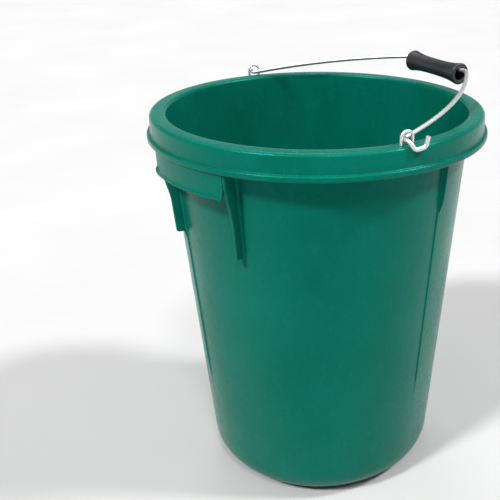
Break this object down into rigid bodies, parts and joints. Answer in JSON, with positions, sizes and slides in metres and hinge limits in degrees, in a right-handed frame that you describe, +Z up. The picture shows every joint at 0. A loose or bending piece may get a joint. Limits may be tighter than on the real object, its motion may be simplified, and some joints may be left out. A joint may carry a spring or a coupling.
{
  "type": "feed bucket",
  "caption": "Tall round moulded stable bucket with a hollow beaded rim, two lifting skirts under it, and a wire bail with a spool hand grip.",
  "frame": {"origin": "middle of the base, on the surface the bucket stands on", "axes": "+Z up along the bucket's axis; the bail's pivot axis is along X through both wire eyes; the bail lies over towards +Y"},
  "size_m": [0.3496, 0.3484, 0.4486],
  "materials": {
    "green_moulding": "satin, lightly scuffed",
    "galvanised_wire": "bright zinc",
    "black_grip": "satin"
  },
  "bodies": {
    "bucket": {"bucket_body": "green_moulding", "rim_eye_left": "galvanised_wire", "rim_eye_right": "galvanised_wire"},
    "bail": {"bail_wire": "galvanised_wire"},
    "handle": {"grip": "black_grip"}
  },
  "joints": [
    {"name": "bail_swing", "type": "hinge", "parent": "bucket", "child": "bail", "pos_m": [0, 0, 0.419], "axis": [1, 0, 0], "range_deg": [0, 162]},
    {"name": "grip_roll", "type": "hinge", "parent": "bail", "child": "handle", "pos_m": [0, 0.15029, 0.44173], "axis": [1, 0, 0], "continuous": true}
  ]
}
